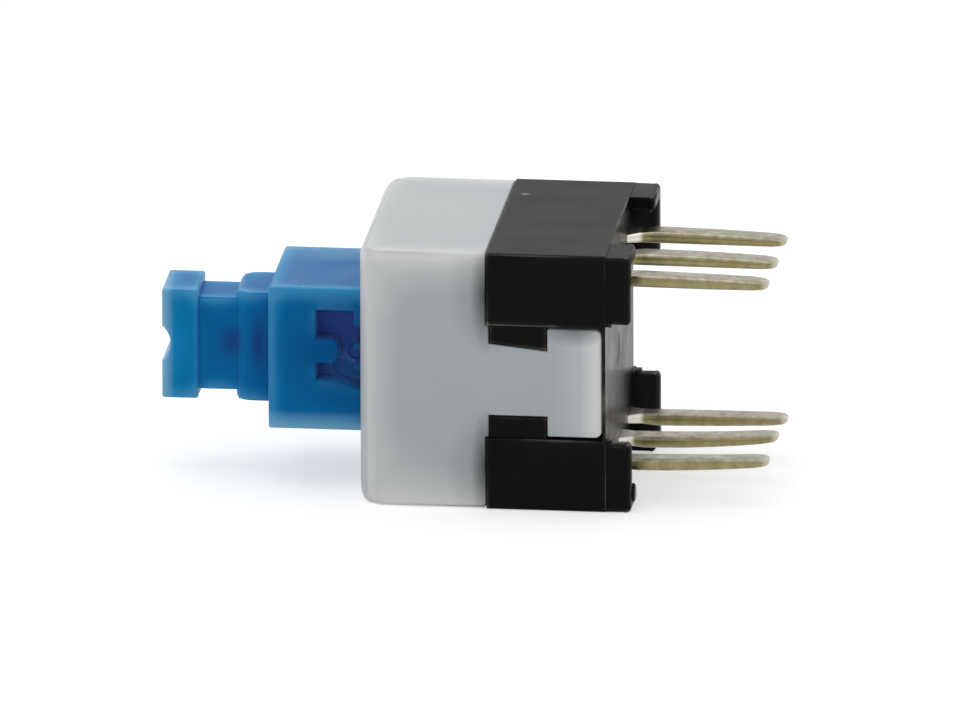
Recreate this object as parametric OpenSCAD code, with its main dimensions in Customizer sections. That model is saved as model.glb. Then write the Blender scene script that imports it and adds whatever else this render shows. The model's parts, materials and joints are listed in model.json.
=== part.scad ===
// Self-locking two-pole pushbutton switch for a circuit board.
// Each piece is drawn upright, with the board at height 0 and the button up, and then laid on its side.
// Upright, X goes from one terminal row to the other, Y along a row, and the latch is on the -Y side.

/* [Body] */
// Width of the square base
base_w = 8.5; // [8:0.1:10]
// Step from the base's sides in to the housing's sides
side_step = 0.03; // [0.005:0.005:0.05]
// Height of the housing's end above the board
body_h = 8.8; // [8.5:0.05:10]
// Height of the line between the base and the housing
seam_h = 4.65; // [4.3:0.05:5]
// Radius along the housing's long edges
housing_edge_r = 0.15; // [0.05:0.05:0.5]
// Fillet of the housing's end on the two tongue sides
housing_end_r = 1.2; // [0.5:0.05:1.4]
// Fillet of the housing's end on the other two sides
housing_rim_r = 0.45; // [0.1:0.05:0.6]
// Radius along the base's long edges
base_edge_r = 0.12; // [0.05:0.01:0.3]
// Thickness of the housing's sides and tongues
housing_wall = 0.74; // [0.66:0.01:0.8]
// Thickness of the housing's end
end_wall = 0.9; // [0.7:0.05:1]
// Thickness of the base's floor
floor_t = 1.2; // [0.9:0.05:1.4]

/* [Snap joint] */
// Width of the gap between the base's corner blocks, on the two tongue sides
gap_w = 3.76; // [3.4:0.02:4.2]
// Width between the two ears in a gap
neck_w = 2.3; // [1.8:0.05:2.6]
// Height of the lower edge of the ears
ear_low = 2.7; // [2.4:0.05:3]
// Height of the ears along the tongue
ear_len = 1.85; // [1.4:0.05:1.9]
// Slant of one ear of each pair over its height
ear_slant = 0.2; // [0:0.02:0.3]
// Extra reach of that ear over the tongue's neck
ear_extra = 0.1; // [0:0.02:0.2]
// Depth of the ears below the base's side
ear_set = 0.08; // [0.04:0.01:0.2]
// Rim of the floor below the end of the tongue on the latch side
rim_t = 0.1; // [0.06:0.01:0.2]
// Room beside the head of each tongue
head_room = 0.09; // [0.04:0.01:0.15]
// Radius of the tongue head's outer corners
head_r = 0.25; // [0.1:0.05:0.5]

/* [Feet] */
// Height of the feet, from the board to the face that the terminals come out of
foot_h = 0.81; // [0.5:0.05:1.2]
// Length of each foot's arm across the rows, on a tongue side
foot_w = 2.25; // [1.6:0.05:2.35]
// Thickness of that arm
foot_t = 0.5; // [0.45:0.05:1.05]
// Length of each foot's arm along the rows
foot_arm = 1.65; // [1.2:0.05:1.9]
// Thickness of that arm
foot_arm_t = 0.5; // [0.45:0.05:0.9]
// Set-back of the feet from the base's sides
foot_set = 0.03; // [0.01:0.01:0.08]
// Radius of the edges of each foot's end
foot_r = 0.16; // [0.05:0.01:0.2]
// Width of the small step at the root of each foot
foot_root = 0.1; // [0.08:0.02:0.2]
// Diameter of the round post in the corner of one foot
nub_d = 0.6; // [0.4:0.05:0.7]
// Height of that post's nub beyond the foot's end
nub_h = 0.08; // [0.04:0.02:0.2]
// Distance of the post from the base's sides
nub_in = 0.55; // [0.5:0.05:1.2]
// Diameter of the round gate mark between the feet
gate_d = 1.25; // [0.8:0.05:1.6]
// Depth of the gate mark
gate_t = 0.03; // [0.03:0.01:0.15]
// Distance of the gate mark from the base's centre, across the rows
gate_x = 0.2; // [0:0.05:1]
// Distance of the gate mark from the base's centre, toward the latch side
gate_y = 0.85; // [0:0.05:1.2]

/* [Terminals] */
// Distance of each terminal row from the base's side
row_inset = 1.25; // [1.15:0.01:1.35]
// Distance of the end terminals of a row from the base's side
end_inset = 1.75; // [1.65:0.01:1.85]
// Length of the blades below the board
blade_len = 4.25; // [3:0.05:6]
// Width of the blades
blade_w = 0.8; // [0.6:0.05:1]
// Thickness of the terminal strip
strip_t = 0.28; // [0.2:0.02:0.32]
// Width of the strip where it passes the floor
shoulder_w = 1.16; // [1.05:0.02:1.3]
// Height over which the shoulder narrows to the blade
shoulder_h = 0.38; // [0.2:0.02:0.5]
// Radius of the corners at a blade's tip
tip_r = 0.24; // [0.1:0.02:0.3]
// Width of the contact strips inside
contact_w = 1.3; // [1.2:0.02:1.4]
// Width of the leg that carries a released contact
leg_w = 0.5; // [0.4:0.02:0.56]
// Overlap of a contact strip past the wiper's nose, at rest
contact_over = 0.6; // [0.4:0.05:0.7]
// Travel at which the released contact opens
open_travel = 0.5; // [0.3:0.05:0.7]
// Travel at which the pressed contact closes
close_travel = 1.2; // [0.9:0.05:1.4]

/* [Plunger] */
// Distance from the base's side in to the plunger's block
block_inset = 1.9; // [1.85:0.005:2]
// Height of the block above the housing's end, released
block_reach = 3.05; // [2.9:0.05:4]
// Radius of the block's edges
block_r = 0.12; // [0.05:0.01:0.2]
// Full travel of the plunger
stroke = 2.5; // [2.2:0.05:2.7]
// Thickness of the stop flange inside the housing
flange_t = 0.42; // [0.3:0.02:0.5]
// Reach of the flange past the block
flange_reach = 0.42; // [0.3:0.02:0.45]
// Width of the stem's collar and head, across the rows
stem_w = 3.6; // [3:0.05:3.8]
// Depth of the collar, along the rows
collar_d = 2.4; // [2:0.05:2.8]
// Height of the collar
collar_h = 1.2; // [0.7:0.05:1.5]
// Radius of the collar's end, seen from its side
collar_r = 0.55; // [0.2:0.05:0.65]
// Chamfer of the collar's end toward the terminal rows
collar_chamfer = 0.12; // [0.05:0.01:0.25]
// Depth of the cap groove on the two wide faces
groove_in = 0.27; // [0.15:0.01:0.5]
// Height of the cap groove
groove_h = 1.2; // [0.8:0.02:1.6]
// Depth of the head, along the rows
head_d = 2.25; // [1.8:0.05:2.8]
// Height of the head
head_h = 1.15; // [0.7:0.05:1.5]
// Radius of the scoop across the head's end
scoop_r = 0.75; // [0.6:0.05:1.2]
// Depth of that scoop
scoop_t = 0.27; // [0.1:0.01:0.4]

/* [Latch] */
// Diameter of the latch wire
wire_d = 0.4; // [0.3:0.02:0.44]
// Radius of the wire's bends, to its centre line
bend_r = 0.3; // [0.26:0.02:0.34]
// Offset of the latch's pivot from the axis, across the rows
latch_x = 0.35; // [0.25:0.01:0.4]
// Height of the pivot above the base's floor
pivot_up = 0.5; // [0.4:0.05:0.6]
// Thickness of the rib that carries the pivot
rib_t = 0.42; // [0.36:0.02:0.44]
// Width of that rib
rib_w = 1.2; // [0.9:0.05:1.5]
// Distance from the wire's tip down from the inside of the housing's end
tip_down = 0.4; // [0.34:0.01:0.5]
// Swing of the wire's tip from rest to the end of the inward lane
tip_swing = 0.79; // [0.7:0.01:0.85]
// Depth of the cam track
cam_t = 0.7; // [0.5:0.05:0.8]
// Extra depth of the lock pocket and the return lane
cam_step = 0.1; // [0.05:0.01:0.15]
// Width of the upper pocket at the end of the inward lane
pocket_w = 0.96; // [0.8:0.02:1.05]
// Width of the upper pocket that starts the return lane
return_w = 0.56; // [0.56:0.01:0.66]
// Width of the guide tooth
tooth_w = 0.79; // [0.6:0.01:0.85]
// Radius of the guide tooth's corners
tooth_r = 0.28; // [0.1:0.02:0.29]
// Length of the guide tooth
tooth_len = 0.72; // [0.5:0.02:0.76]
// Offset of the lock pocket from the tooth, toward the return lane
lock_offset = 0.15; // [0.1:0.01:0.2]
// Distance from the track's upper wall down to the heart's shoulders
heart_down = 1.22; // [1.18:0.01:1.3]
// Outward bow of the return lane
lane_bow = 0.3; // [0.2:0.02:0.4]
// Thickness of the leaf that presses the wire
leaf_t = 0.1; // [0.06:0.01:0.12]
// Width of the leaf
leaf_w = 1.8; // [1.2:0.1:2.2]
// Length of the leaf
leaf_len = 3.8; // [3:0.1:4.2]

/* [Spring and wipers] */
// Diameter of the spring's wire
spring_wire = 0.24; // [0.18:0.02:0.28]
// Turns of the spring, ends included
spring_turns = 10; // [7:1:12]
// Web between the cam track and the spring's bore
bore_web = 0.275; // [0.2:0.025:0.35]
// Height of the solid block above the bore
bore_roof = 1.85; // [1:0.05:2.2]
// Height of the post that centres the spring
post_h = 0.7; // [0.4:0.05:1]
// Thickness of the wipers' sheet
wiper_t = 0.14; // [0.1:0.01:0.16]
// Height of a wiper's plate
plate_h = 0.85; // [0.7:0.05:1]
// Height from a wiper's plate down to the noses of its fingers
finger_len = 0.95; // [0.8:0.05:1.1]
// Width of a finger
finger_w = 0.5; // [0.4:0.02:0.6]
// Offset of the outer fingers from the end terminals, toward the middle
finger_in = 0.5; // [0.45:0.01:0.55]
// Diameter of the pegs that hold a wiper
peg_d = 0.5; // [0.36:0.02:0.6]

/* [Clearances] */
// Gap between fixed pieces that fit into each other
fit = 0.02; // [0.01:0.01:0.03]
// Running gap round the plunger
run_gap = 0.06; // [0.04:0.01:0.08]
// Gap between the latch wire and the lanes of its track
lane_gap = 0.08; // [0.06:0.01:0.1]
// Gap between the wipers' noses and the contact strips
nose_gap = 0.03; // [0.02:0.01:0.04]
// Gap between the plunger and the latch's rib
rib_gap = 0.095; // [0.06:0.005:0.1]
// Gap under the plunger at full travel
under_gap = 0.1; // [0.06:0.01:0.2]

/* [Hidden] */
$fn = 48;
// Overlap of joined shapes, and overrun of the shapes that cut
eps = 0.01;
over = 1;

// Widths and walls of the body
half = base_w / 2;
housing_w = base_w - 2 * side_step;
housing_in = housing_w / 2 - housing_wall;
row_x = half - row_inset;
pitch = half - end_inset;
strip_in = row_x - strip_t / 2;
strip_out = row_x + strip_t / 2 + fit;
block_w = base_w - 2 * block_inset;
cavity_y = housing_in;

// Heights above the board, with the switch upright
floor_top = foot_h + floor_t;
ceiling = body_h - end_wall;
tongue_end = foot_h + rim_t + fit;
ear_top = ear_low + ear_len;
block_low = floor_top + under_gap + stroke;
block_top = body_h + block_reach;
collar_top = block_top + collar_h;
groove_top = collar_top + groove_h;
stem_top = groove_top + head_h;
flange_top = ceiling - fit;
flange_low = flange_top - flange_t;
bore_top = block_top - bore_roof;

// Wipers and the contacts that they meet
plate_top = flange_low - fit;
plate_low = plate_top - plate_h;
nose_z = plate_low - finger_len;
contact_top = nose_z + contact_over;
released_low = nose_z - open_travel;
pressed_top = nose_z - close_travel;
contact_wall_top = contact_top + fit;
plate_x = block_w / 2 + fit;
nose_x = strip_in - nose_gap;
finger_pitch = pitch - finger_in;
toe_drop = 0.35;
nose_h = toe_drop / 3;
peg_y = 1.1;
peg_end = plate_x + 1.5 * wiper_t;

// Latch wire and its track
wire_r = wire_d / 2;
lane_r = wire_r + lane_gap;
pivot_z = floor_top + pivot_up;
tip_z = ceiling - tip_down;
cam_top = tip_z + stroke + wire_r + 2 * fit + lane_gap;
cam_right = latch_x + tip_swing + pocket_w / 2;
tooth_x = cam_right - pocket_w - tooth_w / 2;
cam_w = pocket_w + tooth_w + return_w;
cam_left = cam_right - cam_w;
heart_z = cam_top - heart_down;
rib_in = block_w / 2 + rib_gap;
leg_y = rib_in + rib_t + 2 * fit + wire_r;
leaf_y = housing_in - fit;

// Spring and its bore
bore_d = block_w - 2 * (cam_t + cam_step + bore_web);
spring_d = bore_d - 4 * run_gap;
post_d = spring_d - 2 * spring_wire - 2 * run_gap;

PLASTIC_WHITE = "#e4e6e7";
PLASTIC_BLACK = "#1b1c1e";
PLASTIC_BLUE = "#0f6fb4";
PLATED_BRASS = "#b5aa8c";
BRONZE = "#b98a4e";
STEEL = "#b9bcc0";

// Lays an upright piece on its side, button toward -X
module lay() rotate([0, -90, 0]) children();

// Turns a flat outline drawn in X and height into a slab centred on Y
module across(t) rotate([90, 0, 0]) linear_extrude(t, center = true) children();

// Turns a flat outline drawn in Y and height into a slab centred on X
module along(t) rotate([90, 0, 90]) linear_extrude(t, center = true) children();

module box(x, y, z) translate([x[0], y[0], z[0]]) cube([x[1] - x[0], y[1] - y[0], z[1] - z[0]]);

module rounded_rect(w, d, r) {
    square([w - 2 * r, d], center = true);
    square([w, d - 2 * r], center = true);
    for (sx = [-1, 1], sy = [-1, 1])
        translate([sx * (w / 2 - r), sy * (d / 2 - r)]) circle(r);
}

// Upright outline with its two upper corners rounded
module arched(w, low, top, r) {
    translate([-w / 2, low]) square([w, top - low - r]);
    translate([r - w / 2, low]) square([w - 2 * r, top - low]);
    for (s = [-1, 1])
        translate([s * (w / 2 - r), top - r]) circle(r);
}

// Straight lane with round ends between two points
module lane(a, b, r) {
    d = b - a;
    translate(a) circle(r);
    translate(b) circle(r);
    translate(a) rotate(atan2(d[1], d[0])) translate([0, -r]) square([norm(d), 2 * r]);
}

// Tongue of the housing: root between the corner blocks, neck between the ears, head below them
module tongue_outline() {
    root = gap_w / 2 - fit;
    neck = neck_w / 2 - fit;
    head = gap_w / 2 - head_room;
    translate([-root, ear_top + fit]) square([2 * root, seam_h + housing_wall - ear_top]);
    slim = neck - ear_extra;
    polygon([
        [-neck, ear_low - housing_wall], [slim, ear_low - housing_wall],
        [slim, ear_low], [slim + ear_slant, ear_top + 2 * fit], [-neck, ear_top + 2 * fit]
    ]);
    mirror([0, 1]) arched(2 * head, fit - ear_low, -tongue_end, head_r);
}

// One ear of the base, on the +X side of a gap
module ear_outline(slant, extra) {
    tip = neck_w / 2 - extra;
    polygon([
        [gap_w / 2 + eps, ear_low], [tip, ear_low],
        [tip + slant, ear_top], [gap_w / 2 + eps, ear_top]
    ]);
}

module housing() {
    low = seam_h + fit;
    hole = block_w + 2 * run_gap;
    color(PLASTIC_WHITE) {
        difference() {
            intersection() {
                translate([0, 0, low]) linear_extrude(body_h - low)
                    rounded_rect(housing_w, housing_w, housing_edge_r);
                across(base_w) arched(housing_w, low, body_h, housing_rim_r);
                along(base_w) arched(housing_w, low, body_h, housing_end_r);
            }
            box([-housing_in, housing_in], [-housing_in, housing_in], [low - over, ceiling]);
            box([-hole / 2, hole / 2], [-hole / 2, hole / 2], [ceiling - over, body_h + over]);
        }
        for (turn = [0, 180])
            rotate(turn) translate([0, (housing_wall - housing_w) / 2, 0])
                across(housing_wall) tongue_outline();
    }
}

// Upright block from the floor down to the board, with the edges of its end rounded
module foot_block(x, y) {
    translate([(x[0] + x[1]) / 2, (y[0] + y[1]) / 2, 0]) intersection() {
        across(y[1] - y[0]) mirror([0, 1]) arched(x[1] - x[0], -foot_h - eps, 0, foot_r);
        along(x[1] - x[0]) mirror([0, 1]) arched(y[1] - y[0], -foot_h - eps, 0, foot_r);
    }
}

// Foot in the +X +Y corner: two arms in an L
module foot() {
    out = half - foot_set;
    x = half - foot_w;
    foot_block([x, out], [half - foot_t, out]);
    foot_block([half - foot_arm_t, out], [half - foot_arm, out]);
    box([x - foot_root, x + eps], [half - foot_t, out], [foot_h - foot_root * 2, foot_h + eps]);
}

module base_block() {
    difference() {
        translate([0, 0, foot_h]) linear_extrude(seam_h - foot_h)
            rounded_rect(base_w, base_w, base_edge_r);
        box([-strip_out, strip_out], [-cavity_y, cavity_y], [floor_top, seam_h + over]);
        for (turn = [0, 180]) {
            low = foot_h + (turn == 0 ? rim_t : -over);
            rotate(turn)
                box([-gap_w / 2, gap_w / 2], [-half - over, fit - cavity_y], [low, seam_h + over]);
        }
    }
}

module ears() {
    ear_t = half - ear_set - cavity_y;
    for (turn = [0, 180])
        rotate(turn) translate([0, -cavity_y - ear_t / 2, 0]) {
            across(ear_t) ear_outline(ear_slant, ear_extra);
            mirror([1, 0, 0]) across(ear_t) ear_outline(0, 0);
        }
}

// Upright wall behind each row of contact strips, reaching up into the housing
module contact_wall() {
    reach = pitch + contact_w / 2;
    box([strip_out, housing_in - fit], [-reach, reach], [seam_h - over, contact_wall_top]);
}

module latch_rib() {
    x = [latch_x - rib_w / 2, latch_x + rib_w / 2];
    box(x, [-rib_in - rib_t, -rib_in], [floor_top - eps, pivot_z + rib_w / 2]);
}

module terminal_slots() {
    for (row = [-1, 1], place = [-1, 0, 1])
        translate([row * row_x, place * pitch, floor_top / 2])
            cube([strip_t + 2 * fit, shoulder_w + 2 * fit, 2 * floor_top], center = true);
}

module base() {
    color(PLASTIC_BLACK) difference() {
        union() {
            base_block();
            ears();
            for (mx = [0, 1], my = [0, 1])
                mirror([mx, 0, 0]) mirror([0, my, 0]) foot();
            for (mx = [0, 1])
                mirror([mx, 0, 0]) contact_wall();
            latch_rib();
            translate([0, 0, floor_top - eps]) cylinder(d = post_d, h = post_h);
            translate([nub_in - half, nub_in - half, -nub_h])
                cylinder(d = nub_d, h = nub_h + foot_h + eps);
        }
        terminal_slots();
        translate([gate_x, -gate_y, foot_h - eps]) cylinder(d = gate_d, h = gate_t + eps);
        translate([latch_x, -rib_in + eps, pivot_z]) rotate([90, 0, 0])
            cylinder(r = wire_r + 2 * fit, h = rib_t + 2 * eps);
    }
}

// Heart-cam track on the plunger's -Y face, drawn in X and height
module cam_track() {
    start = [latch_x, tip_z];
    inward_end = [latch_x + tip_swing, tip_z + stroke];
    difference() {
        union() {
            translate([cam_left, heart_z]) square([cam_w, cam_top - heart_z]);
            lane(start, inward_end, lane_r);
            return_lane();
        }
        translate([tooth_x, 0]) mirror([0, 1])
            arched(tooth_w, -cam_top - over, tooth_len - cam_top, tooth_r);
    }
}

module return_lane() {
    start = [latch_x, tip_z];
    pocket = [cam_left + lane_r, cam_top - tooth_len];
    bow = [cam_left + lane_r - lane_bow, heart_z - lane_bow];
    lane(pocket, bow, lane_r);
    lane(bow, start, lane_r);
}

// Lock pocket in the heart, and the return lane, cut a step deeper than the rest
module cam_deep() {
    translate([tooth_x - lock_offset, heart_z]) circle(lane_r);
    intersection() {
        return_lane();
        translate([cam_left - over, tip_z + stroke / 3]) square([cam_w + 2 * over, cam_top]);
    }
}

module stem() {
    neck_x = stem_w / 2 - groove_in;
    neck_y = collar_d / 2 - groove_in;
    // Collar with its outer end rounded, and chamfered toward the rows
    intersection() {
        along(stem_w) arched(collar_d, block_top - eps, collar_top, collar_r);
        across(collar_d) polygon([
            [-stem_w / 2, block_top - eps], [stem_w / 2, block_top - eps],
            [stem_w / 2, collar_top - collar_chamfer], [stem_w / 2 - collar_chamfer, collar_top],
            [collar_chamfer - stem_w / 2, collar_top], [-stem_w / 2, collar_top - collar_chamfer]
        ]);
    }
    // Neck of the cap groove
    box([-neck_x, neck_x], [-neck_y, neck_y], [collar_top - collar_r, groove_top + eps]);
    // Head with a scoop across its end
    difference() {
        box([-stem_w / 2, stem_w / 2], [-head_d / 2, head_d / 2], [groove_top, stem_top]);
        translate([0, 0, stem_top + scoop_r - scoop_t]) rotate([90, 0, 0])
            cylinder(r = scoop_r, h = head_d + over, center = true);
    }
}

module plunger_block() {
    intersection() {
        translate([0, 0, block_low]) linear_extrude(block_top - block_low)
            rounded_rect(block_w, block_w, block_r);
        across(block_w) arched(block_w, block_low, block_top, block_r);
        along(block_w) arched(block_w, block_low, block_top, block_r);
    }
}

module plunger() {
    flange_x = block_w / 2 + flange_reach;
    flange_y = block_w / 2 - block_r;
    color(PLASTIC_BLUE) difference() {
        union() {
            plunger_block();
            stem();
            box([-flange_x, flange_x], [-flange_y, flange_y], [flange_low, flange_top]);
            for (s = [-1, 1], y = [-peg_y, peg_y])
                translate([0, y, plate_low + plate_h / 2]) rotate([0, s * 90, 0])
                    cylinder(d = peg_d, h = peg_end);
        }
        translate([0, 0, block_low - eps]) cylinder(d = bore_d, h = bore_top - block_low + eps);
        translate([0, -block_w / 2, 0]) {
            across(2 * cam_t) cam_track();
            across(2 * (cam_t + cam_step)) cam_deep();
        }
    }
}

// Height along the spring, with the first and last turn closed
function coil_z(turn, length) =
    let (open = spring_turns - 2, pitch_open = (length - 3 * spring_wire) / open)
    spring_wire / 2 + (
        turn < 1 ? turn * spring_wire
        : turn > spring_turns - 1 ? length - spring_wire - (spring_turns - turn) * spring_wire
        : spring_wire + (turn - 1) * pitch_open
    );

module return_spring() {
    length = bore_top - floor_top - 2 * fit;
    steps = 16;
    sides = 8;
    rings = spring_turns * steps;
    r = (spring_d - spring_wire) / 2;
    points = [
        for (i = [0:rings], k = [0:sides - 1])
            let (a = 360 * i / steps, b = 360 * k / sides, d = r + spring_wire / 2 * cos(b))
            [d * cos(a), d * sin(a), coil_z(i / steps, length) + spring_wire / 2 * sin(b)]
    ];
    walls = [
        for (i = [0:rings - 1], k = [0:sides - 1])
            let (n = (k + 1) % sides)
            [i * sides + k, i * sides + n, (i + 1) * sides + n, (i + 1) * sides + k]
    ];
    ends = [[for (k = [sides - 1:-1:0]) k], [for (k = [0:sides - 1]) rings * sides + k]];
    color(STEEL) translate([0, 0, floor_top + fit])
        polyhedron(points, concat(walls, ends), convexity = spring_turns);
}

// One end of the latch wire: a quarter bend and a straight arm toward +Y
module wire_hook(arm) {
    translate([0, bend_r, bend_r]) rotate([180, 0, 0]) rotate([90, 0, 90])
        rotate_extrude(angle = 90) translate([bend_r, 0]) circle(wire_r);
    translate([0, bend_r, 0]) rotate([-90, 0, 0]) cylinder(r = wire_r, h = arm - bend_r);
}

module latch_wire() {
    pivot_arm = leg_y - rib_in - fit;
    tip_arm = leg_y - block_w / 2 + cam_t - lane_gap;
    leg_len = tip_z - pivot_z - 2 * bend_r;
    color(STEEL) translate([latch_x, -leg_y, 0]) {
        translate([0, 0, pivot_z]) wire_hook(pivot_arm);
        translate([0, 0, tip_z]) mirror([0, 0, 1]) wire_hook(tip_arm);
        translate([0, 0, pivot_z + bend_r]) cylinder(r = wire_r, h = leg_len);
    }
}

// Bowed strip between the housing's wall and the wire's long leg
module latch_leaf() {
    bow = leaf_y - leg_y - wire_r - leaf_t - fit;
    r = (leaf_len * leaf_len / 4 + bow * bow) / (2 * bow);
    mid_z = (pivot_z + tip_z) / 2;
    color(STEEL) translate([latch_x, -leaf_y - r + bow, mid_z]) intersection() {
        rotate([0, 90, 0]) difference() {
            cylinder(r = r + leaf_t, h = leaf_w, center = true, $fn = 180);
            cylinder(r = r, h = leaf_w + over, center = true, $fn = 180);
        }
        translate([0, r, 0]) cube([leaf_w + over, r, leaf_len], center = true);
    }
}

// Outline of one wiper finger in X and height: slants out to its nose, then curls back
module finger_outline() {
    toe_x = nose_x - toe_drop / 2 - wiper_t;
    polygon([
        [plate_x, plate_low + eps], [plate_x + wiper_t, plate_low + eps],
        [nose_x, nose_z + nose_h], [nose_x, nose_z - nose_h],
        [toe_x + wiper_t, nose_z - toe_drop], [toe_x, nose_z - toe_drop],
        [nose_x - wiper_t, nose_z - nose_h], [nose_x - wiper_t, nose_z + nose_h]
    ]);
}

module wiper(side) {
    plate_w = 2 * finger_pitch + finger_w;
    color(BRONZE) rotate(side > 0 ? 0 : 180) {
        difference() {
            box([plate_x, plate_x + wiper_t], [-plate_w / 2, plate_w / 2], [plate_low, plate_top]);
            for (y = [-peg_y, peg_y])
                translate([0, y, plate_low + plate_h / 2]) rotate([0, 90, 0])
                    cylinder(d = peg_d + 2 * fit, h = half);
        }
        for (place = [-1, 0, 1])
            translate([0, place * finger_pitch, 0]) across(finger_w) finger_outline();
    }
}

// Blade and shoulder, the same on every terminal, drawn along the row and in height
module blade_outline() {
    mirror([0, 1]) arched(blade_w, shoulder_h - foot_h - eps, blade_len, tip_r);
    polygon([
        [-blade_w / 2, foot_h - shoulder_h], [blade_w / 2, foot_h - shoulder_h],
        [shoulder_w / 2, foot_h], [shoulder_w / 2, floor_top + fit],
        [-shoulder_w / 2, floor_top + fit], [-shoulder_w / 2, foot_h]
    ]);
}

// Contact above the floor: 1 is the released contact, 0 the common one, -1 the pressed one
module contact_outline(place) {
    edge = contact_w / 2;
    low = floor_top + fit;
    if (place == 0)
        translate([-edge, low - eps]) square([contact_w, contact_top - low]);
    if (place == -1)
        translate([-edge, low - eps]) square([contact_w, pressed_top - low]);
    if (place == 1) {
        translate([edge - leg_w, low - eps]) square([leg_w, contact_top - low]);
        translate([edge - contact_w - finger_w / 2, released_low])
            square([contact_w + finger_w / 2, contact_top - eps - released_low]);
        translate([-shoulder_w / 2, low - eps]) square([shoulder_w / 2 + edge, leg_w]);
    }
}

module terminal(row, place) {
    color(PLATED_BRASS) translate([row * row_x, place * pitch, 0]) along(strip_t) {
        blade_outline();
        contact_outline(place);
    }
}

lay() housing();
lay() base();
lay() plunger();
lay() return_spring();
lay() latch_wire();
lay() latch_leaf();
lay() wiper(1);  // upper_wiper
lay() wiper(-1);  // lower_wiper
lay() terminal(1, 1);  // upper_released_terminal
lay() terminal(1, 0);  // upper_common_terminal
lay() terminal(1, -1);  // upper_pressed_terminal
lay() terminal(-1, 1);  // lower_released_terminal
lay() terminal(-1, 0);  // lower_common_terminal
lay() terminal(-1, -1);  // lower_pressed_terminal
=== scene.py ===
import bmesh
import bpy
import json
import math
from mathutils import Matrix, Vector


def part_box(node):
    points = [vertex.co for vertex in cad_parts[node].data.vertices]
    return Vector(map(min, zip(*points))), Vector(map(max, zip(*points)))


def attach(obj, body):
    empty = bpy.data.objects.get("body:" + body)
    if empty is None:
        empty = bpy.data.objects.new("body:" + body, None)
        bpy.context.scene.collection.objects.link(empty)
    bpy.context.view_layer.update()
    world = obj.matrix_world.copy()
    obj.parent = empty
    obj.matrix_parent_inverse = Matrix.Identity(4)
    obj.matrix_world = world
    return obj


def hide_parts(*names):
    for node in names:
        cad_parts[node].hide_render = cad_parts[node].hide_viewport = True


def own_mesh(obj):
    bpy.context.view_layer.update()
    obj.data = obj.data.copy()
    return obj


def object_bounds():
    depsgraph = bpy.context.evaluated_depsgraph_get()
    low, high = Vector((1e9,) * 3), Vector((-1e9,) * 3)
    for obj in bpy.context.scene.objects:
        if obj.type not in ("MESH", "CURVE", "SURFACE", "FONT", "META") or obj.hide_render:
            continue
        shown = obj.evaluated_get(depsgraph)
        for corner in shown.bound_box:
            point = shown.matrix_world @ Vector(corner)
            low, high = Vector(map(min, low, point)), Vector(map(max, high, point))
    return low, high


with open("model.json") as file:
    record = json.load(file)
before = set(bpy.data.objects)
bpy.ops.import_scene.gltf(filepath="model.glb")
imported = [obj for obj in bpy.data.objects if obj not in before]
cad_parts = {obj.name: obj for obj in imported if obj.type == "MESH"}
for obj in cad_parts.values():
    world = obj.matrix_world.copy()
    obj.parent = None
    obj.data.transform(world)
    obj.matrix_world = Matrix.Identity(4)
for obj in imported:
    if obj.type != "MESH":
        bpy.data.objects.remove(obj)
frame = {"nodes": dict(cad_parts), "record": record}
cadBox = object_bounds()
scene = bpy.context.scene
scene.view_settings.view_transform = "Standard"
mm = 0.001
print("frame loaded:", len(frame["nodes"]), "CAD nodes")


# Camera at the photograph's angle, orthographic because the photograph's lines run parallel
photoView = {
    "azimuth": 6.727, "elevation": 16.666, "roll": -0.186,  # degrees
    "pixelsPerMm": 31.395, "imageSize": (960, 720),
    "target": (-4.25, 0, 0), "targetPixel": (513.57, 343.96),  # a point of the part, and where it shows
    "distance": 120, "clipStart": 1,
}


def makeCamera(view):
    azimuth, elevation, roll = (math.radians(view[k]) for k in ("azimuth", "elevation", "roll"))
    back = Vector((
        math.sin(azimuth) * math.cos(elevation),
        -math.cos(azimuth) * math.cos(elevation),
        math.sin(elevation),
    ))
    level = Vector((math.cos(azimuth), math.sin(azimuth), 0))
    upright = back.cross(level)
    right = level * math.cos(roll) + upright * math.sin(roll)
    up = upright * math.cos(roll) - level * math.sin(roll)
    width, height = view["imageSize"]
    aim = Vector(view["target"])
    aim += right * (width / 2 - view["targetPixel"][0]) / view["pixelsPerMm"]
    aim -= up * (height / 2 - view["targetPixel"][1]) / view["pixelsPerMm"]
    data = bpy.data.cameras.new("photoCamera")
    data.type = "ORTHO"
    data.ortho_scale = width / view["pixelsPerMm"] * mm
    data.clip_start = view["clipStart"] * mm
    camera = bpy.data.objects.new("photoCamera", data)
    pose = Matrix((right, up, back)).transposed().to_4x4()
    pose.translation = (aim + back * view["distance"]) * mm
    camera.matrix_world = pose
    scene.collection.objects.link(camera)
    scene.camera = camera


makeCamera(photoView)
print("camera set")


def colour(code):  # sRGB hex to linear
    parts = [int(code[i:i + 2], 16) / 255 for i in (1, 3, 5)]
    return [c / 12.92 if c <= 0.04045 else ((c + 0.055) / 1.055) ** 2.4 for c in parts] + [1]


def addNode(tree, kind, inputs=None, **settings):
    node = tree.nodes.new(kind)
    for name, value in settings.items():
        setattr(node, name, value)
    for name, value in (inputs or {}).items():
        socket = next(s for i, s in enumerate(node.inputs) if name in (i, s.name) and s.enabled)
        if isinstance(value, bpy.types.Node):
            value = next(s for s in value.outputs if s.enabled)
        if isinstance(value, bpy.types.NodeSocket):
            tree.links.new(value, socket)
        else:
            socket.default_value = value
    return node


def newMaterial(name):
    material = bpy.data.materials.new(name)
    material.use_nodes = True
    tree = material.node_tree
    tree.nodes.clear()
    return material, tree


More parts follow.
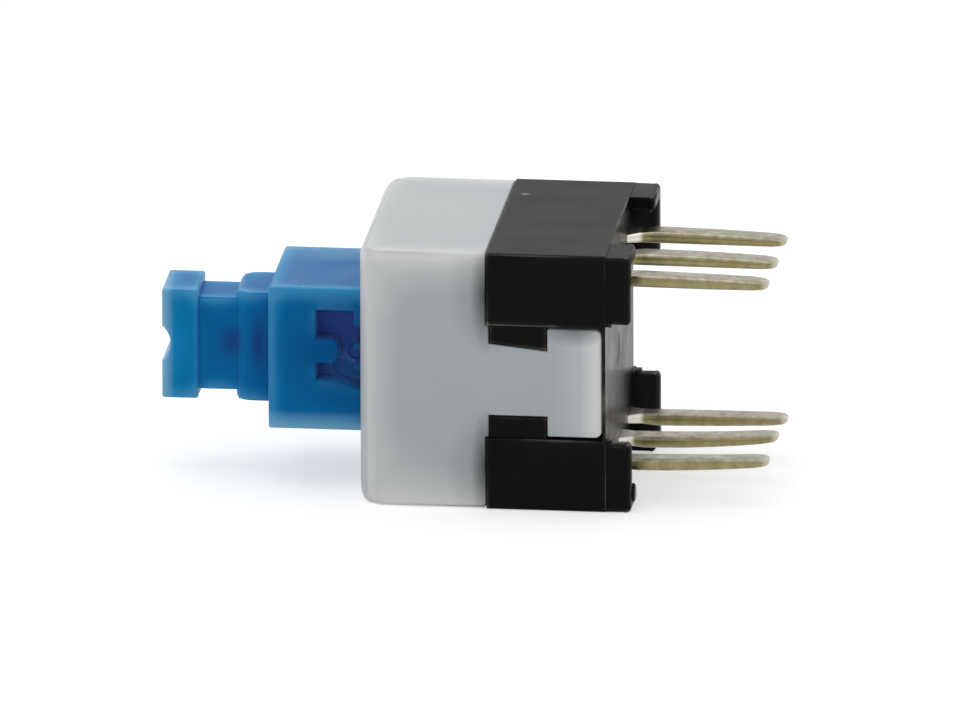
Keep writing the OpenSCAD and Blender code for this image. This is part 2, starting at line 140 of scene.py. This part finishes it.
# Stage: pale floor that keeps the shadow, white surroundings, soft light all round
stage = {
    "floorSize": 1500, "floorColour": "#e6e6e6", "floorLift": 0.5,
    "skyColour": "#ffffff", "skyFront": 0.6, "skyBack": 0.9, "skyTop": 0.6,
    "skyTurn": (-0.5, 0.5),  # where the front passes into the back
    "skyRise": (0.25, 0.9),  # where the sides pass into the top
    "mirrorFront": 0.8,  # share of the white backdrop that shiny pieces see in front of them
}
lamps = {
    "topSoftbox": {"size": 70, "place": (-20, 10, 80), "watts": 0.012},
    "rightSoftbox": {"size": 14, "place": (34, -22, 14), "watts": 0.0006},
}


def makeFloor():
    material, tree = newMaterial("paleFloor")
    lit = addNode(tree, "ShaderNodeBsdfDiffuse", {"Color": colour(stage["floorColour"])})
    rays = addNode(tree, "ShaderNodeLightPath").outputs
    direct = addNode(tree, "ShaderNodeMath", operation="MAXIMUM", inputs={
        0: rays["Is Camera Ray"], 1: rays["Is Glossy Ray"]})
    seen = addNode(tree, "ShaderNodeMath", operation="MAXIMUM", inputs={
        0: direct, 1: rays["Is Transmission Ray"]})
    lift = addNode(tree, "ShaderNodeMath", {0: seen, 1: stage["floorLift"]}, operation="MULTIPLY")
    glow = addNode(tree, "ShaderNodeEmission", {"Strength": lift})
    surface = addNode(tree, "ShaderNodeAddShader", {0: lit, 1: glow})
    addNode(tree, "ShaderNodeOutputMaterial", {"Surface": surface})
    bm = bmesh.new()
    bmesh.ops.create_grid(bm, x_segments=1, y_segments=1, size=stage["floorSize"] / 2 * mm)
    bmesh.ops.translate(bm, verts=bm.verts, vec=(0, 0, cadBox[0].z))
    mesh = bpy.data.meshes.new("floor")
    bm.to_mesh(mesh)
    bm.free()
    mesh.materials.append(material)
    floor = bpy.data.objects.new("floor", mesh)
    scene.collection.objects.link(floor)


def makeSky():
    world = bpy.data.worlds.new("studio")
    scene.world = world
    world.use_nodes = True
    tree = world.node_tree
    tree.nodes.clear()
    rays = addNode(tree, "ShaderNodeLightPath").outputs
    direction = addNode(tree, "ShaderNodeTexCoord").outputs["Generated"]
    axes = addNode(tree, "ShaderNodeSeparateXYZ", {0: direction}).outputs
    behind = addNode(tree, "ShaderNodeMapRange", interpolation_type="SMOOTHSTEP", inputs={
        "Value": axes["Y"], "From Min": stage["skyTurn"][0], "From Max": stage["skyTurn"][1]})
    depth = addNode(tree, "ShaderNodeMix", {
        "Factor": behind, "A": stage["skyFront"], "B": stage["skyBack"]})
    rise = addNode(tree, "ShaderNodeMapRange", interpolation_type="SMOOTHSTEP", inputs={
        "Value": axes["Z"], "From Min": stage["skyRise"][0], "From Max": stage["skyRise"][1]})
    dome = addNode(tree, "ShaderNodeMix", {"Factor": rise, "A": depth, "B": stage["skyTop"]})
    # the camera, clear pieces and shiny pieces see a white backdrop
    mirror = addNode(tree, "ShaderNodeMapRange", {"Value": behind, "To Min": stage["mirrorFront"]})
    mirrored = addNode(tree, "ShaderNodeMath", {0: rays["Is Glossy Ray"], 1: mirror}, operation="MULTIPLY")
    direct = addNode(tree, "ShaderNodeMath", operation="MAXIMUM", inputs={
        0: rays["Is Camera Ray"], 1: rays["Is Transmission Ray"]})
    seen = addNode(tree, "ShaderNodeMath", {0: direct, 1: mirrored}, operation="MAXIMUM")
    strength = addNode(tree, "ShaderNodeMix", {"Factor": seen, "A": dome, "B": 1})
    sky = addNode(tree, "ShaderNodeBackground", {"Strength": strength, "Color": colour(stage["skyColour"])})
    addNode(tree, "ShaderNodeOutputWorld", {"Surface": sky})


def makeLamp(name, box):
    data = bpy.data.lights.new(name, "AREA")
    data.size = box["size"] * mm
    data.energy = box["watts"]
    lamp = bpy.data.objects.new(name, data)
    lamp.location = Vector(box["place"]) * mm
    lamp.rotation_euler = (-lamp.location).to_track_quat("-Z", "Y").to_euler()
    scene.collection.objects.link(lamp)


makeFloor()
makeSky()
for name, box in lamps.items():
    makeLamp(name, box)
print("stage set")

# White PBT, moulded with a satin skin: milky, and painted paler towards its edges for the light that leaks in
# there
whitePbt = {
    "core": ("#c9d0d3", "#c2c9cc"), "cloud": 2.5, "grain": 0.11, "grainDepth": 0.001,
    # edge and rim: painted light, paler near the box's edges where light leaks in
    "edge": "#dde1e1", "rim": "#fafaf8", "edgeReach": 1.5, "patchy": 0, "boxCorner": (8.85, 4.22, 4.22),
    # pocket: painted shade in hollows
    "pocket": "#b4b8b8", "pocketReach": 0.5,
    "roughness": (0.3, 0.42), "shine": 0.06, "veil": 0,
    "scatter": 0.35, "scatterDepth": 0.5, "scatterTint": (1, 0.95, 0.9),
    "marks": [
        # shade at the seam, above and below the tongue's neck
        {"at": (-4.65, -4.22, 2.8), "size": (0.5, 0.8, 1.9), "fill": 0.95, "colour": "#4c504e"},
        {"at": (-4.65, -4.22, -2.8), "size": (0.5, 0.8, 1.9), "fill": 0.95, "colour": "#4c504e"},
        {"at": (-4.65, -4.22, 3), "size": (1.3, 0.8, 2.2), "fill": 0.35, "colour": "#4c504e"},
        {"at": (-4.65, -4.22, -3), "size": (1.3, 0.8, 2.2), "fill": 0.35, "colour": "#4c504e"},
        # light in the top, the tongues' ends and the front's outer corners
        {"at": (-6.7, 0, 4.25), "size": (4, 6, 0.3), "fill": 1.4, "colour": "#cdd1d2"},
        {"at": (-0.95, 0, 0), "size": (0.65, 50, 50), "colour": "#ffffff"},
        {"at": (-0.95, 0, 0), "size": (1.5, 50, 50), "fill": 0.5, "colour": "#ffffff"},
        {"at": (-8.85, -4.22, -4.22), "size": (3.4, 0.9, 3), "fill": 0.75, "colour": "#f4f5f2"},
        {"at": (-8.6, -4.22, 3.3), "size": (1.9, 0.5, 1.5), "fill": 0.5, "colour": "#f4f5f2"},
        {"at": (-1.8, -4.22, 1.8), "size": (1.3, 0.4, 0.6), "colour": "#888c8e"},  # shade under an ear
        {"at": (-8.66, -3.9, -2.17), "size": (0.1, 0.12, 0.16), "colour": "#4c4a44"},  # speck
    ],
}
# Black PBT, moulded matt: near black face on, greyer at a grazing angle, corners rubbed pale in patches and
# partly painted with a highlight
blackPbt = {
    "core": ("#0b0c0e", "#151614"), "cloud": 1.3, "grain": 0.09, "grainDepth": 0.0012,
    # edge and rim: pale edges, partly rubbed wear, partly a painted highlight
    "edge": "#282a27", "rim": "#7a7a70", "edgeReach": 0.16, "patchy": 0.7,
    "pocket": "#121313", "pocketReach": 0.3,
    "roughness": (0.24, 0.33), "shine": 0.05, "veil": 0,
    "scatter": 0, "scatterDepth": 0.1, "scatterTint": (1, 1, 1),
    "marks": [
        # painted light on the rear feet, which sit in shade
        {"at": (-0.4, 3.8, 0), "size": (0.6, 0.7, 50), "fill": 1.5, "colour": "#282a29"},  # rear feet
        {"at": (-3.3, -4.25, 4.25), "size": (2.6, 0.07, 0.07), "colour": "#8a8a82"},  # front edge rubbed pale, partly a painted highlight
        {"at": (-4.16, 2.48, 4.25), "size": (0.2, 0.12, 0.12), "colour": "#a8a89e"},  # pale spot on the top
    ],
}
# Blue acetal, moulded: waxy; painted paler near its edges and where it is thin for the light that shines
# through, painted deeper blue where it is thick and violet in hollows for the shade inside
blueAcetal = {
    "core": ("#0079bc", "#0071b3"), "cloud": 1.2, "grain": 0.1, "grainDepth": 0.001,
    "edge": "#0092d2", "rim": "#5fabd6", "edgeReach": 0.7, "patchy": 0,
    # pocket: painted light in hollows, paler where light shines through the plastic
    "pocket": "#0a7cc4", "pocketReach": 0.6,
    "roughness": (0.26, 0.38), "shine": 0.05, "veil": 0.15,
    "scatter": 0.4, "scatterDepth": 0.5, "scatterTint": (0.2, 0.7, 1),
    "marks": [
        # painted shade: deeper blue round the cam track and violet in it; painted light: paler in its lower
        # lane
        {"at": (-9.3, -2.35, 0.3), "size": (2.5, 0.5, 2.4), "fill": 1.7, "colour": "#0062a3"},
        {"at": (-9.5, -1.65, 0.4), "size": (2.2, 0.66, 2.0), "fill": 3, "colour": "#3c5cae"},
        {"at": (-9.4, -1.65, -0.7), "size": (1.1, 0.66, 1.1), "fill": 1.3, "colour": "#4a86cc"},
        # thin head: painted light shining through it
        {"at": (-14.9, -1.8, 0), "size": (1.1, 3, 3), "colour": "#0c98d4"},
        {"at": (-15.4, -1.2, 0), "size": (0.4, 3, 4), "colour": "#a4d2ea"},
        # painted highlights along the block's long edges
        {"at": (0, -2.35, 2.35), "size": (50, 0.45, 0.55), "colour": "#3f9fd2"},
        {"at": (0, -2.35, -2.35), "size": (50, 0.6, 0.64), "colour": "#8cc8e8"},
        {"at": (0, 2.35, 2.35), "size": (50, 1.8, 0.5), "fill": 0.4, "colour": "#a0d2ea"},
        # painted shade in the thick cores of the neck and the collar
        {"at": (-13.17, -1.0, 0.09), "size": (0.55, 0.9, 0.7), "colour": "#1f509c"},
        {"at": (-12.3, -1.2, 0.1), "size": (0.4, 0.9, 1.1), "colour": "#1f509c"},
    ],
}


# The same for the three mouldings: where clouds, edges and hollows begin and end
mouldedSkin = {
    "cloudDetail": 2,
    "squareEdge": 0.5, "flatFace": 0.97,  # share of free rays inside the plastic
    "wearAndHighlightCloud": (0.42, 0.62), "rimPower": 3,
    "hollow": 0.25, "open": 0.7,  # share of free rays outside it
    "sheenCloud": (0.3, 0.7), "veilRoughness": 0.4,
}


def nearBoxEdge(tree, place, look):  # 1 on an edge of the box, 0 further than the reach from any edge
    corner = [c * mm for c in look["boxCorner"]]
    aside = addNode(tree, "ShaderNodeVectorMath", {0: place}, operation="ABSOLUTE")
    depths = addNode(tree, "ShaderNodeVectorMath", {0: corner, 1: aside}, operation="SUBTRACT")
    x, y, z = addNode(tree, "ShaderNodeSeparateXYZ", {0: depths}).outputs
    # on a face one depth is nil, so the middle one of the three is the way to the nearest edge
    lesser = addNode(tree, "ShaderNodeMath", {0: y, 1: z}, operation="MINIMUM")
    greater = addNode(tree, "ShaderNodeMath", {0: y, 1: z}, operation="MAXIMUM")
    capped = addNode(tree, "ShaderNodeMath", {0: greater, 1: x}, operation="MINIMUM")
    middle = addNode(tree, "ShaderNodeMath", {0: lesser, 1: capped}, operation="MAXIMUM")
    return addNode(tree, "ShaderNodeMapRange", {
        "Value": middle, "From Min": 0, "From Max": look["edgeReach"] * mm, "To Min": 1, "To Max": 0})


def nearThinEdge(tree, look):  # 1 on a square edge, 0 deeper than the reach
    depth = addNode(tree, "ShaderNodeAmbientOcclusion", {
        "Distance": look["edgeReach"] * mm}, inside=True, only_local=True).outputs["AO"]
    return addNode(tree, "ShaderNodeMapRange", {
        "Value": depth, "From Min": mouldedSkin["squareEdge"], "From Max": mouldedSkin["flatFace"],
        "To Min": 1, "To Max": 0})


def makeMoulded(name, look):
    material, tree = newMaterial(name)
    place = addNode(tree, "ShaderNodeTexCoord").outputs["Object"]
    cloud = addNode(tree, "ShaderNodeTexNoise", {
        "Vector": place, "Scale": 1 / (look["cloud"] * mm), "Detail": mouldedSkin["cloudDetail"]})
    grain = addNode(tree, "ShaderNodeTexNoise", {  # drawn coarser than the real skin, so that it shows
        "Vector": place, "Scale": 1 / (look["grain"] * mm)})
    tone = addNode(tree, "ShaderNodeMix", data_type="RGBA", inputs={
        "Factor": cloud, "A": colour(look["core"][0]), "B": colour(look["core"][1])})
    # edges: painted paler for the light that leaks through them; on the black, rubbed pale in patches and
    # partly a painted highlight
    thin = nearBoxEdge(tree, place, look) if "boxCorner" in look else nearThinEdge(tree, look)
    wearAndHighlight = addNode(tree, "ShaderNodeMapRange", {
        "Value": cloud, "From Min": mouldedSkin["wearAndHighlightCloud"][0], "From Max": mouldedSkin["wearAndHighlightCloud"][1],
        "To Min": 1 - look["patchy"], "To Max": 1})
    edge = addNode(tree, "ShaderNodeMath", {0: thin, 1: wearAndHighlight}, operation="MULTIPLY")
    rim = addNode(tree, "ShaderNodeMath", {0: edge, 1: mouldedSkin["rimPower"]}, operation="POWER")
    for factor, kind in ((edge, "edge"), (rim, "rim")):
        tone = addNode(tree, "ShaderNodeMix", data_type="RGBA", inputs={
            "Factor": factor, "A": tone, "B": colour(look[kind])})
    # hollows: painted shade where little light gets in; on the blue, painted light for what shines through
    # the plastic
    openness = addNode(tree, "ShaderNodeAmbientOcclusion", {
        "Distance": look["pocketReach"] * mm}, only_local=True).outputs["AO"]
    hollow = addNode(tree, "ShaderNodeMapRange", {
        "Value": openness, "From Min": mouldedSkin["hollow"], "From Max": mouldedSkin["open"],
        "To Min": 1, "To Max": 0})
    tone = addNode(tree, "ShaderNodeMix", data_type="RGBA", inputs={
        "Factor": hollow, "A": tone, "B": colour(look["pocket"])})
    for mark in look["marks"]:
        spot = addNode(tree, "ShaderNodeMapping", vector_type="TEXTURE", inputs={
            "Vector": place, "Location": [c * mm for c in mark["at"]],
            "Scale": [c * mm for c in mark["size"]]})
        blot = addNode(tree, "ShaderNodeTexGradient", {"Vector": spot}, gradient_type="SPHERICAL")
        share = addNode(tree, "ShaderNodeMapRange", {"Value": blot, "From Max": 1 / mark.get("fill", 1)})
        tone = addNode(tree, "ShaderNodeMix", data_type="RGBA", inputs={
            "Factor": share, "A": tone, "B": colour(mark["colour"])})
    sheen = addNode(tree, "ShaderNodeMapRange", {
        "Value": cloud, "From Min": mouldedSkin["sheenCloud"][0], "From Max": mouldedSkin["sheenCloud"][1],
        "To Min": look["roughness"][0], "To Max": look["roughness"][1]})
    bump = addNode(tree, "ShaderNodeBump", {"Height": grain, "Distance": look["grainDepth"] * mm})
    surface = addNode(tree, "ShaderNodeBsdfPrincipled", {
        "Base Color": tone, "Roughness": sheen, "Normal": bump, "Specular IOR Level": look["shine"],
        "Sheen Weight": look["veil"], "Sheen Roughness": mouldedSkin["veilRoughness"],
        "Subsurface Weight": look["scatter"], "Subsurface Radius": look["scatterTint"],
        "Subsurface Scale": look["scatterDepth"] * mm})
    addNode(tree, "ShaderNodeOutputMaterial", {"Surface": surface})
    return material


# Brass strip, tin plated and then stamped: mottled grey faces, yellower cut edges, painted glints on the
# shoulders and tips
platedBrass = {
    "plate": "#b4b0a2", "tarnish": "#8a826c", "edge": ("#9e956b", "#887e56"),
    # bright: colour of the painted glints on the shoulders and tips
    "bright": "#f2eee4", "stain": "#5f5138",
    "cloud": 0.3, "cloudDetail": 5, "cloudRoughness": 0.6,
    "tarnishCloud": (0.3, 0.7), "stainCloud": (0.72, 0.76),
    "cutToFlat": (0.2, 0.9),  # how far a face turns up or down before it shows plate
    "shoulder": (-0.46, -0.32), "tip": (4.0, 4.25), "tipGlint": 0.45,
    "line": 0.05, "lineStretch": 0.08, "lineDepth": 0.0015, "roughness": (0.24, 0.42),
}


def makePlatedBrass(look):
    material, tree = newMaterial("platedBrass")
    coords = addNode(tree, "ShaderNodeTexCoord").outputs
    place = coords["Object"]
    along = addNode(tree, "ShaderNodeMapping", {"Vector": place, "Scale": (look["lineStretch"], 1, 1)})
    lines = addNode(tree, "ShaderNodeTexNoise", {  # rolling lines run along the strip
        "Vector": along, "Scale": 1 / (look["line"] * mm)})
    cloud = addNode(tree, "ShaderNodeTexNoise", {
        "Vector": place, "Scale": 1 / (look["cloud"] * mm),
        "Detail": look["cloudDetail"], "Roughness": look["cloudRoughness"]})
    mottle = addNode(tree, "ShaderNodeMapRange", {
        "Value": cloud, "From Min": look["tarnishCloud"][0], "From Max": look["tarnishCloud"][1]})
    plate = addNode(tree, "ShaderNodeMix", data_type="RGBA", inputs={
        "Factor": mottle, "A": colour(look["plate"]), "B": colour(look["tarnish"])})
    cut = addNode(tree, "ShaderNodeMix", data_type="RGBA", inputs={
        "Factor": mottle, "A": colour(look["edge"][0]), "B": colour(look["edge"][1])})
    facing = addNode(tree, "ShaderNodeSeparateXYZ", {0: coords["Normal"]}).outputs["Z"]
    flat = addNode(tree, "ShaderNodeMath", {0: facing}, operation="ABSOLUTE")
    skin = addNode(tree, "ShaderNodeMapRange", {
        "Value": flat, "From Min": look["cutToFlat"][0], "From Max": look["cutToFlat"][1]})
    tone = addNode(tree, "ShaderNodeMix", data_type="RGBA", inputs={"Factor": skin, "A": cut, "B": plate})
    specks = addNode(tree, "ShaderNodeMapRange", {
        "Value": cloud, "From Min": look["stainCloud"][0], "From Max": look["stainCloud"][1]})
    tone = addNode(tree, "ShaderNodeMix", data_type="RGBA", inputs={
        "Factor": specks, "A": tone, "B": colour(look["stain"])})
    reach = addNode(tree, "ShaderNodeSeparateXYZ", {0: place}).outputs["X"]
    # painted glints on the shoulder by the base and at the tip
    root = addNode(tree, "ShaderNodeMapRange", {
        "Value": reach, "From Min": look["shoulder"][0] * mm, "From Max": look["shoulder"][1] * mm,
        "To Min": 1, "To Max": 0})
    tip = addNode(tree, "ShaderNodeMapRange", {
        "Value": reach, "From Min": look["tip"][0] * mm, "From Max": look["tip"][1] * mm,
        "To Max": look["tipGlint"]})
    glint = addNode(tree, "ShaderNodeMath", {0: root, 1: tip}, operation="MAXIMUM")
    tone = addNode(tree, "ShaderNodeMix", data_type="RGBA", inputs={
        "Factor": glint, "A": tone, "B": colour(look["bright"])})
    sheen = addNode(tree, "ShaderNodeMapRange", {
        "Value": cloud, "To Min": look["roughness"][0], "To Max": look["roughness"][1]})
    bump = addNode(tree, "ShaderNodeBump", {"Height": lines, "Distance": look["lineDepth"] * mm})
    surface = addNode(tree, "ShaderNodeBsdfPrincipled", {
        "Base Color": tone, "Metallic": 1, "Roughness": sheen, "Normal": bump})
    addNode(tree, "ShaderNodeOutputMaterial", {"Surface": surface})
    return material


# Spring steel and phosphor bronze, drawn or rolled bright: clean metal with fine clouding
brightMetals = {
    "springSteel": {
        "bright": "#b4b6b8", "dull": "#8d9092", "cloud": 0.6, "cloudDetail": 4, "roughness": (0.22, 0.38)},
    "phosphorBronze": {
        "bright": "#c99a62", "dull": "#a87a48", "cloud": 0.5, "cloudDetail": 4, "roughness": (0.25, 0.42)},
}


def makeBrightMetal(name):
    look = brightMetals[name]
    material, tree = newMaterial(name)
    place = addNode(tree, "ShaderNodeTexCoord").outputs["Object"]
    cloud = addNode(tree, "ShaderNodeTexNoise", {
        "Vector": place, "Scale": 1 / (look["cloud"] * mm), "Detail": look["cloudDetail"]})
    tone = addNode(tree, "ShaderNodeMix", data_type="RGBA", inputs={
        "Factor": cloud, "A": colour(look["bright"]), "B": colour(look["dull"])})
    sheen = addNode(tree, "ShaderNodeMapRange", {
        "Value": cloud, "To Min": look["roughness"][0], "To Max": look["roughness"][1]})
    surface = addNode(tree, "ShaderNodeBsdfPrincipled", {
        "Base Color": tone, "Metallic": 1, "Roughness": sheen})
    addNode(tree, "ShaderNodeOutputMaterial", {"Surface": surface})
    return material


materials = {
    "white_plastic": makeMoulded("whitePbt", whitePbt),
    "black_plastic": makeMoulded("blackPbt", blackPbt),
    "blue_plastic": makeMoulded("blueAcetal", blueAcetal),
    "plated_brass": makePlatedBrass(platedBrass),
    "spring_steel": makeBrightMetal("springSteel"),
    "contact_bronze": makeBrightMetal("phosphorBronze"),
}
print("materials made:", len(materials))

mergeGap = 1e-4  # mm, vertices that are one
sameLevel = 1e-3  # mm, vertices on one plane
flatAngle = 0.01  # radians, faces that are one


def addPiece(name, bm, slot, body, node, smoothAngle=35):
    mesh = bpy.data.meshes.new(name)
    bm.to_mesh(mesh)
    bm.free()
    mesh.shade_smooth()
    mesh.set_sharp_from_angle(angle=math.radians(smoothAngle))
    mesh.materials.append(materials[slot])
    piece = bpy.data.objects.new(name, mesh)
    scene.collection.objects.link(piece)
    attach(piece, body)
    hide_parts(node)
    return piece


def mergedCopy(node):
    bm = bmesh.new()
    bm.from_mesh(frame["nodes"][node].data)
    bmesh.ops.remove_doubles(bm, verts=bm.verts, dist=mergeGap * mm)
    bmesh.ops.dissolve_limit(bm, angle_limit=flatAngle, verts=bm.verts, edges=bm.edges)
    return bm


def flatOutline(face):  # bent edges round the flat area that a face belongs to
    area, fresh = {face}, [face]
    while fresh:
        for edge in fresh.pop().edges:
            if edge.calc_face_angle(0) < flatAngle:
                added = set(edge.link_faces) - area
                area |= added
                fresh += added
    return {e for f in area for e in f.edges if e.calc_face_angle(0) >= flatAngle}


def freeWidth(loop, spots=(0.05, 0.3, 0.5, 0.7, 0.95)):  # how far a flat area runs inward from its edge
    start, end = loop.vert.co, loop.link_loop_next.vert.co
    along = (end - start).normalized()
    inward = loop.face.normal.cross(along)
    outline = flatOutline(loop.face) - {loop.edge}
    spans = []
    for spot in spots:
        origin = start.lerp(end, spot)
        for edge in outline:
            (t1, s1), (t2, s2) = ((along.dot(v.co - origin), inward.dot(v.co - origin)) for v in edge.verts)
            if t1 * t2 <= 0 and t1 != t2:  # this edge lies across from the spot
                spans.append(s1 - (s2 - s1) * t1 / (t2 - t1))
    return min((s for s in spans if s > 0), default=0)


# Outer edges are eased where the faces beside them are wide enough, so no bevel runs into the next one
def easeEdges(bm, width, segments=3, sharpAngle=40, room=2.1):
    bm.normal_update()
    sharp = [
        e for e in bm.edges if e.is_convex and e.calc_face_angle(0) > math.radians(sharpAngle)
        and min(freeWidth(loop) for loop in e.link_loops) > width * room * mm]
    bmesh.ops.bevel(
        bm, geom=sharp, offset=width * mm, affect="EDGES", segments=segments, profile=0.5, material=-1)


# Moulded pieces: the CAD form with its sharp edges eased, as a tool leaves them
mouldedPieces = {
    "housing": {"slot": "white_plastic", "body": "body", "edge": 0.07},
    "base": {
        "slot": "black_plastic", "body": "body", "edge": 0.05,
        "gate": {"at": (-0.84, -0.85, 0.2), "reach": 0.7, "keep": 0.75},
        "nub": {"edge": 0.07, "segments": 5},
    },
    "plunger": {"slot": "blue_plastic", "body": "plunger", "edge": 0.07},
}


def softenGate(bm, gate):  # the mark of the moulding gate is a shallow dish
    centre = Vector(gate["at"]) * mm
    floor = [
        v for v in bm.verts
        if abs(v.co.x - centre.x) < sameLevel * mm and (v.co - centre).length < gate["reach"] * mm]
    bmesh.ops.scale(bm, vec=(1, gate["keep"], gate["keep"]), space=Matrix.Translation(-centre), verts=floor)


def domeNub(bm, nub):  # the post's end, which stands furthest out
    end = max(v.co.x for v in bm.verts)
    rim = [e for e in bm.edges if all(end - v.co.x < sameLevel * mm for v in e.verts)]
    bmesh.ops.bevel(
        bm, geom=rim, offset=nub["edge"] * mm, affect="EDGES", segments=nub["segments"],
        profile=0.5, material=-1)


def makeMouldedPiece(node, look):
    bm = mergedCopy(node)
    if "gate" in look:
        softenGate(bm, look["gate"])
    if "nub" in look:
        domeNub(bm, look["nub"])
    easeEdges(bm, look["edge"])
    piece = addPiece(node + "_eased", bm, look["slot"], look["body"], node)
    piece.modifiers.new("flatFaces", "WEIGHTED_NORMAL").keep_sharp = True


for node, look in mouldedPieces.items():
    makeMouldedPiece(node, look)
print("moulded pieces eased:", len(mouldedPieces))

# Terminals: stamped strip, its edges tumbled round, thicker at the root than at the coined tip,
# each blade set and bent a little off true
stampedStrip = {
    "edge": 0.11, "edgeSegments": 4, "cuts": 8, "coin": 0.5, "coinKeep": 0.72,
    "rootSwell": 1.36, "tipSwell": 0.94, "face": -0.8,  # face: where the blade leaves the base
    "rootShift": {
        "upper_released": 0.03, "upper_common": 0.03, "upper_pressed": 0.06,
        "lower_released": -0.04, "lower_common": -0.03, "lower_pressed": -0.04,
    },
    "tipBend": {
        "upper_released": -0.04, "upper_common": -0.04, "upper_pressed": 0,
        "lower_released": 0.04, "lower_common": 0.21, "lower_pressed": 0.14,
    },
}


def makeTerminal(name, look):
    node = name + "_terminal"
    bm = mergedCopy(node)
    easeEdges(bm, look["edge"], segments=look["edgeSegments"])
    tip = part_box(node)[1].x
    face = look["face"] * mm
    coinStart = tip - look["coin"] * mm
    middle = sum(c.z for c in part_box(node)) / 2
    stations = [coinStart * i / look["cuts"] for i in range(look["cuts"])] + [coinStart]
    for x in stations:
        bmesh.ops.bisect_plane(
            bm, geom=bm.verts[:] + bm.edges[:] + bm.faces[:], plane_co=(x, 0, 0), plane_no=(1, 0, 0))
    for v in bm.verts:
        if v.co.x > face:
            rooted = min(1, (v.co.x - face) / -face)
            along = max(0, v.co.x) / tip
            coined = max(0, v.co.x - coinStart) / (tip - coinStart)
            swell = 1 + rooted * (look["rootSwell"] - 1 + along ** 2 * (look["tipSwell"] - look["rootSwell"]))
            v.co.z = middle + (v.co.z - middle) * swell * (1 - coined * (1 - look["coinKeep"]))
            shift = look["rootShift"][name] * rooted * (1 - along)
            v.co.z += (shift + look["tipBend"][name] * along ** 2) * mm
    piece = addPiece(node + "_stamped", bm, "plated_brass", "body", node)
    piece.modifiers.new("flatFaces", "WEIGHTED_NORMAL").keep_sharp = True


for name in stampedStrip["tipBend"]:
    makeTerminal(name, stampedStrip)
print("terminals stamped")

# Return spring: round wire, first and last turn closed
returnSpring = {"wire": 0.24, "turns": 10, "sides": 12, "stepsPerTurn": 32, "pressedTravel": 2.5}


def makeSpring(look):
    low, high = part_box("return_spring")
    wire = look["wire"] * mm
    ringRadius = high.z - wire / 2
    length = high.x - low.x
    steps = look["stepsPerTurn"]
    openTurns = look["turns"] - 2  # a closed turn at each end rises by one wire
    bm = bmesh.new()
    ring = bmesh.ops.create_circle(bm, segments=look["sides"], radius=wire / 2)["verts"]
    bmesh.ops.rotate(bm, verts=ring, matrix=Matrix.Rotation(math.pi / 2, 3, "X"))
    bmesh.ops.translate(bm, verts=ring, vec=(high.x - wire / 2, 0, ringRadius))
    last = list(bm.verts) + list(bm.edges)
    for turns, pitch in ((1, wire), (openTurns, (length - 3 * wire) / openTurns), (1, wire)):
        last = bmesh.ops.spin(
            bm, geom=last, cent=(0, 0, 0), axis=(-1, 0, 0), dvec=(-pitch / steps, 0, 0),
            angle=2 * math.pi * turns, steps=steps * turns)["geom_last"]
    bmesh.ops.holes_fill(bm, edges=[e for e in bm.edges if e.is_boundary])
    bmesh.ops.recalc_face_normals(bm, faces=bm.faces)
    spring = addPiece("return_spring_wound", bm, "spring_steel", "body", "return_spring")
    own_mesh(spring)


makeSpring(returnSpring)
print("return spring wound")

# Inner metal keeps the CAD form
for part in frame["record"]["subparts"]:
    cadObject = frame["nodes"][part["node"]]
    if not cadObject.hide_render:
        cadObject.data.materials.clear()
        cadObject.data.materials.append(materials[part["material_slot"]])
print("inner metal finished")
